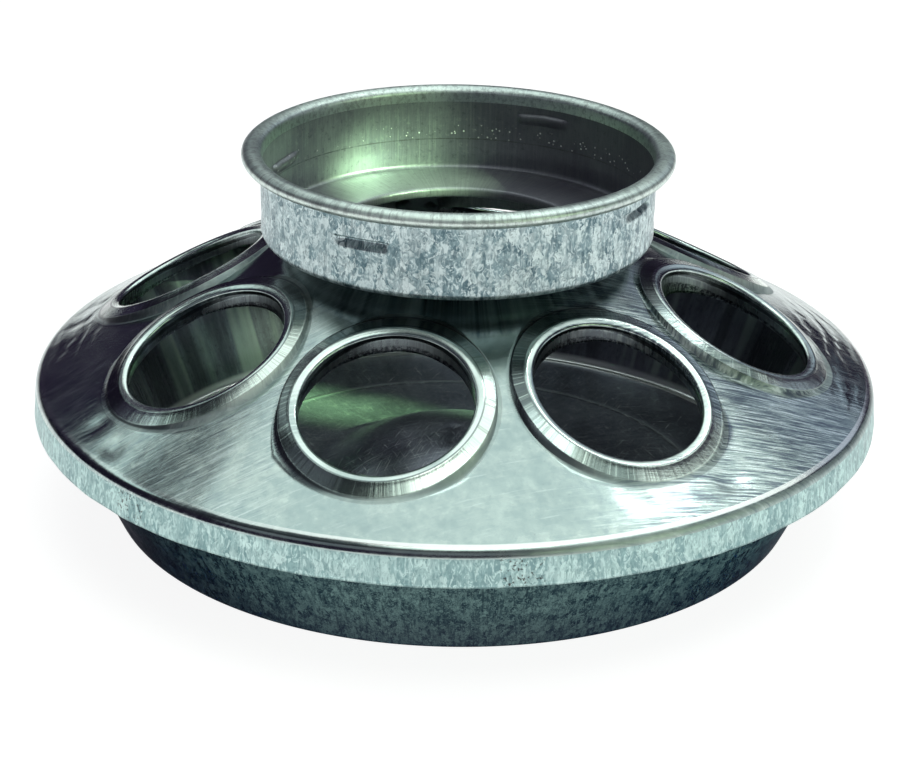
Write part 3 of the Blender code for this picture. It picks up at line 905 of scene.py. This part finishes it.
def skirt_finish():
    """The skirt, with a few specks of rust."""
    tones = ((0.19, 0.31, 0.32), (0.34, 0.51, 0.505), (0.68, 0.88, 0.85))
    f, tone, rough, normal = patina("skirt_zinc", tones, (1.3, 0.28), 0.42, 0.35)
    specks = f.ease(f.noise(f.place, 1.5, 3.0, 0.7), 0.57, 0.63, 0.0, 0.85)
    for azimuth in RUST_AZIMUTHS:
        # Fades out between two and three degrees from the azimuth
        patch = f.ease(f.facing(azimuth), 0.9985, 0.9994)
        tone = f.mix(f.both(patch, specks), tone, (0.035, 0.022, 0.022))
    return f.close(tone, rough, normal)


def collar_outer_finish():
    """The collar's outside, with the largest and palest crystals."""
    tones = ((0.085, 0.145, 0.17), (0.31, 0.425, 0.45), (0.82, 0.94, 0.94))
    f, tone, rough, normal = patina("collar_zinc", tones, (0.56, 0.36), 0.40, 0.5)
    return f.close(tone, rough, normal)


def pan_outer_finish():
    """The pan's outside: dark, darker towards its foot, with painted shade on one side."""
    tones = ((0.016, 0.028, 0.038), (0.050, 0.088, 0.096), (0.17, 0.27, 0.26))
    f, tone, rough, normal = patina("pan_zinc", tones, (1.9, 0.8), 0.44, 0.6)
    f.feed(f.shader.inputs["Specular Tint"], (0.22, 0.22, 0.27))
    tone = f.mix(f.ease(f.height, 13.0, 0.0, 0.0, 0.55), tone, (0.030, 0.034, 0.050))
    # Painted shade on the side of the pan turned from the lights
    side_shade = f.ease(f.facing(PAN_SHADED_AZIMUTH), 0.35, 0.95, 0.0, 0.75)
    tone = f.mix(side_shade, tone, (0.010, 0.009, 0.016))
    return f.close(tone, rough, normal)


def inner_zinc(name, dark, light, roughness):
    """Smooth drawn inner face: rubbed zinc with upright draw marks, mottle and specks."""
    f = Finish(name)
    draws = f.noise(f.round_about(46.0, 0.02, 0.03), 1.0, 4.0, 0.65)
    fine_draws = f.noise(f.round_about(90.0, 0.05, 0.35), 1.0, 4.0, 0.7)
    cloud = f.noise(f.place, 0.06, 2.0, 0.5)
    mottle = f.noise(f.place, 0.9, 4.0, 0.7)
    speck = f.noise(f.place, 2.8, 3.0, 0.7)
    tone = f.mix(f.ease(cloud, 0.2, 0.8), dark, light)
    tone = f.mix(f.ease(draws, 0.40, 0.75, 0.0, 0.5), tone, light)
    tone = f.mix(f.ease(fine_draws, 0.35, 0.75, 0.0, 0.5), tone, dark)
    tone = f.mix(f.ease(mottle, 0.45, 0.30, 0.0, 0.5), tone, tuple(c * 0.6 for c in dark))
    tone = f.mix(f.ease(mottle, 0.55, 0.70, 0.0, 0.4), tone, light)
    tone = f.mix(f.ease(speck, 0.66, 0.72, 0.0, 0.75), tone, tuple(c * 0.25 for c in dark))
    rough = f.ease(cloud, 0.3, 0.7, roughness - 0.03, roughness + 0.05)
    normal = f.bump(draws, 0.06)
    normal = f.bump(fine_draws, 0.014, normal)
    normal = f.bump(mottle, 0.012, normal)
    return f, tone, rough, normal


def pan_inner_finish():
    """The pan's inside: streaked wall with painted reflections in upright bars, a painted highlight on the
    bend at its foot, a painted highlight along the floor's crease, scratches on the floor.
    """
    f, tone, rough, normal = inner_zinc("pan_inside", (0.10, 0.105, 0.145), (0.34, 0.38, 0.42), 0.22)
    f.shader.inputs["Metallic"].default_value = 0.7
    # Painted reflections: light and dark upright bars on the wall
    reflection_bars = f.noise(f.round_about(11.0, 0.0, 0.01), 1.0, 2.0, 0.6)
    on_wall = f.ease(f.radius, 64.8, 66.0)
    tone = f.mix(f.both(on_wall, f.ease(reflection_bars, 0.50, 0.40, 0.0, 0.6)), tone, (0.06, 0.065, 0.08))
    tone = f.mix(f.both(on_wall, f.ease(reflection_bars, 0.54, 0.66, 0.0, 0.6)), tone, (0.58, 0.70, 0.62))
    on_floor = f.ease(f.radius, 62.0, 58.0)
    for angle in SCRATCH_ANGLES:
        lines = f.noise(f.stretched(f.place, 0.16, 3.2, 0.0, math.radians(angle)), 1.0, 3.0, 0.6)
        scratch = f.both(on_floor, f.ease(lines, 0.60, 0.68, 0.0, 0.55))
        tone = f.mix(scratch, tone, (0.78, 0.84, 0.84))
        normal = f.bump(lines, 0.012, normal)
    # Painted highlight on the bend at the wall's foot
    bend = f.band(f.radius, 64.5, 0.65, 0.45)
    tone = f.mix(f.both(bend, 0.85), tone, (0.92, 0.96, 0.95))
    # Painted highlight along the floor's crease
    crease = f.band(f.radius, TROUGH_INNER_RADIUS / MM, 0.15, 0.3)
    tone = f.mix(f.both(crease, 0.5), tone, (0.66, 0.74, 0.72))
    normal = f.bump(f.band(f.radius, TROUGH_INNER_RADIUS / MM, 0.0, 1.2), 0.12, normal)
    return f.close(tone, rough, normal)


def cover_inner_finish():
    """The cover's underside: plain dark zinc."""
    f, tone, rough, normal = inner_zinc("cover_inside", (0.12, 0.14, 0.15), (0.28, 0.32, 0.32), 0.42)
    return f.close(tone, rough, normal)


def collar_inner_finish():
    """The collar's inside: painted shade on one side and along a faint crease low on its wall, bright
    specks above it.
    """
    f, tone, rough, normal = inner_zinc("collar_inside", (0.22, 0.225, 0.27), (0.52, 0.57, 0.56), 0.42)
    pressed = f.both(f.ease(f.radius, 35.9, 35.2), f.ease(f.height, 56.0, 57.5))
    tone = f.mix(f.both(pressed, 0.45), tone, (0.22, 0.24, 0.24))
    # Painted shade on the side of the collar's inside turned from the lights
    side_shade = f.ease(f.facing(COLLAR_SHADED_AZIMUTH), 0.10, 0.85, 0.0, 0.70)
    tone = f.mix(side_shade, tone, (0.085, 0.075, 0.11))
    lines = f.noise(f.place, 0.6, 3.0, 0.6)
    # Painted shade in a dark line along the crease
    crease = f.band(f.height, COLLAR_CREASE_HEIGHT / MM, 0.04, 0.16)
    crease = f.both(crease, f.ease(lines, 0.35, 0.6, 0.25, 0.75))
    tone = f.mix(crease, tone, (0.10, 0.10, 0.11))
    dots = f.add("ShaderNodeTexVoronoi", f.place, None, 1.1)
    picked = f.add("ShaderNodeSeparateColor", dots.outputs["Color"]).outputs[1]
    dot = f.both(f.ease(dots.outputs["Distance"], 0.24, 0.14), f.ease(picked, 0.30, 0.36))
    dot = f.both(dot, f.band(f.height, 60.2, 1.0, 0.6))
    tone = f.mix(dot, tone, (1.0, 1.0, 1.0))
    f.feed(f.shader.inputs["Metallic"], f.maths("MULTIPLY_ADD", dot, -0.65, 0.65))
    normal = f.bump(dot, 0.16, normal)
    return f.close(tone, rough, normal)


def bead_finish():
    """The rolled bead: duller than the wall, with dark rubs."""
    f, tone, rough, normal = inner_zinc("bead_zinc", (0.56, 0.64, 0.63), (0.88, 1.0, 0.93), 0.40)
    rubs = f.noise(f.round_about(40.0, 0.8, 0.8), 1.0, 4.0, 0.7)
    tone = f.mix(f.ease(rubs, 0.52, 0.40, 0.0, 0.36), tone, (0.16, 0.19, 0.20))
    normal = f.bump(rubs, 0.03, normal)
    return f.close(tone, rough, normal)


# ---------------------------------------------------------------- stage

def make_floor():
    """A plain pale floor, wide enough to fill the view."""
    mesh = bpy.data.meshes.new("floor")
    reach = 6.0
    corners = [(-reach, -reach, 0.0), (reach, -reach, 0.0), (reach, reach, 0.0), (-reach, reach, 0.0)]
    mesh.from_pydata(corners, [], [(0, 1, 2, 3)])
    floor = bpy.data.objects.new("floor", mesh)
    bpy.context.scene.collection.objects.link(floor)
    floor.location.z = -0.02 * MM
    material = bpy.data.materials.new("floor_paper")
    material.use_nodes = True
    shader = material.node_tree.nodes["Principled BSDF"]
    shader.inputs["Base Color"].default_value = (0.36, 0.36, 0.36, 1.0)
    shader.inputs["Roughness"].default_value = 0.9
    shader.inputs["Specular IOR Level"].default_value = 0.0
    shader.inputs["Emission Color"].default_value = (1.0, 1.0, 1.0, 1.0)
    shader.inputs["Emission Strength"].default_value = 0.90
    mesh.materials.append(material)


def hang_light(light, target, azimuth, elevation, distance):
    """Hangs a light at a distance from a point, facing it. The angles are in degrees."""
    way = toward(math.radians(azimuth), math.radians(elevation))
    lamp = bpy.data.objects.new(light.name, light)
    lamp.location = Vector(target) + way * distance
    lamp.rotation_mode = "QUATERNION"
    lamp.rotation_quaternion = way.to_track_quat("Z", "Y")
    bpy.context.scene.collection.objects.link(lamp)


def make_light(name, azimuth, elevation, distance, size, glow, colour):
    """A soft oblong light on a sphere round the feeder, facing it."""
    light = bpy.data.lights.new(name, "AREA")
    light.shape = "RECTANGLE"
    light.size, light.size_y = size
    light.energy = glow * math.pi * size[0] * size[1]
    light.color = colour
    hang_light(light, (0.0, 0.0, 0.0), azimuth, elevation, distance)


def make_beam(name, target, elevation, width, power, colour):
    """A narrow beam from the right, with a soft edge, onto a point."""
    beam = bpy.data.lights.new(name, "SPOT")
    beam.energy = power
    beam.color = colour
    beam.spot_size = math.radians(width)
    beam.spot_blend = 1.0
    beam.shadow_soft_size = 4.0 * MM
    hang_light(beam, target, BEAM_AZIMUTH, elevation, BEAM_DISTANCE)


def make_world():
    """A dim surround, a little lighter overhead."""
    world = bpy.data.worlds.new("studio")
    world.use_nodes = True
    tree = world.node_tree
    background = tree.nodes["Background"]
    position = tree.nodes.new("ShaderNodeTexCoord")
    split = tree.nodes.new("ShaderNodeSeparateXYZ")
    ramp = tree.nodes.new("ShaderNodeValToRGB")
    tree.links.new(position.outputs["Generated"], split.inputs[0])
    tree.links.new(split.outputs["Z"], ramp.inputs["Fac"])
    tree.links.new(ramp.outputs["Color"], background.inputs["Color"])
    low, high = ramp.color_ramp.elements
    low.color = (0.018, 0.012, 0.030, 1.0)
    high.position = 0.9
    high.color = (0.080, 0.090, 0.100, 1.0)
    middle = ramp.color_ramp.elements.new(0.45)
    middle.color = (0.030, 0.022, 0.045, 1.0)
    bpy.context.scene.world = world


def make_camera():
    """The view: from the front, a little to the right and above."""
    right = Vector((math.cos(CAMERA_AZIMUTH), math.sin(CAMERA_AZIMUTH), 0.0))
    back = toward(CAMERA_AZIMUTH, CAMERA_ELEVATION)
    up = back.cross(right)
    aim = right * CAMERA_AIM_SIDE + Vector((0.0, 0.0, CAMERA_AIM_HEIGHT))
    rolled_right = right * math.cos(CAMERA_ROLL) + up * math.sin(CAMERA_ROLL)
    rolled_up = up * math.cos(CAMERA_ROLL) - right * math.sin(CAMERA_ROLL)
    camera = bpy.data.cameras.new("view")
    camera.lens = CAMERA_LENS
    camera.sensor_width = 36.0
    camera.clip_start = 0.01
    holder = bpy.data.objects.new("view", camera)
    axes = Matrix((rolled_right, rolled_up, back)).transposed().to_4x4()
    holder.matrix_world = Matrix.Translation(aim + back * CAMERA_DISTANCE) @ axes
    bpy.context.scene.collection.objects.link(holder)
    bpy.context.scene.camera = holder


# Lights: name, azimuth, elevation, distance, size, glow and colour
LIGHTS = (
    ("overhead", 170.0, 70.0, 1.17, (1.70, 1.25), 1.12, (0.90, 1.0, 0.96)),
    ("front_top", 20.0, 71.5, 1.15, (0.55, 0.38), 2.0, (0.92, 1.0, 0.93)),
    ("window_pane", 140.5, 60.5, 1.0, (0.07, 0.13), 11.0, (0.97, 1.0, 0.97)),
    ("green_panel", 64.0, 23.5, 1.1, (0.80, 0.26), 2.2, (0.78, 1.0, 0.62)),
    ("right_panel", 100.0, 12.0, 1.2, (0.8, 0.5), 0.45, (0.86, 0.94, 1.0)),
    ("right_back_card", 152.0, 28.0, 1.2, (0.55, 0.38), 0.50, (0.75, 0.88, 1.0)),
    ("left_card", -104.0, 40.5, 1.1, (0.54, 0.15), 1.3, (0.86, 1.0, 0.95)),
    ("front_card", -8.0, 38.0, 1.2, (1.70, 0.42), 0.34, (0.90, 0.97, 1.0)),
)


def make_stage():
    """The floor, the surround, the soft lights, and a beam into the pan and one into the collar."""
    make_floor()
    make_world()
    for light in LIGHTS:
        make_light(*light)
    right_hole = (HOLE_PLAN_RADIUS, 0.0, cone_height(HOLE_PLAN_RADIUS))
    make_beam("pan_beam", right_hole, 24.0, 1.05, 620.0, (0.50, 1.0, 0.44))
    make_beam("collar_beam", COLLAR_GLOW_PLACE, 27.0, 1.45, 115.0, (0.66, 1.0, 0.56))


bpy.context.scene.view_settings.view_transform = "Standard"
make_camera()
make_stage()
make_pan()
make_cover()
make_collar()
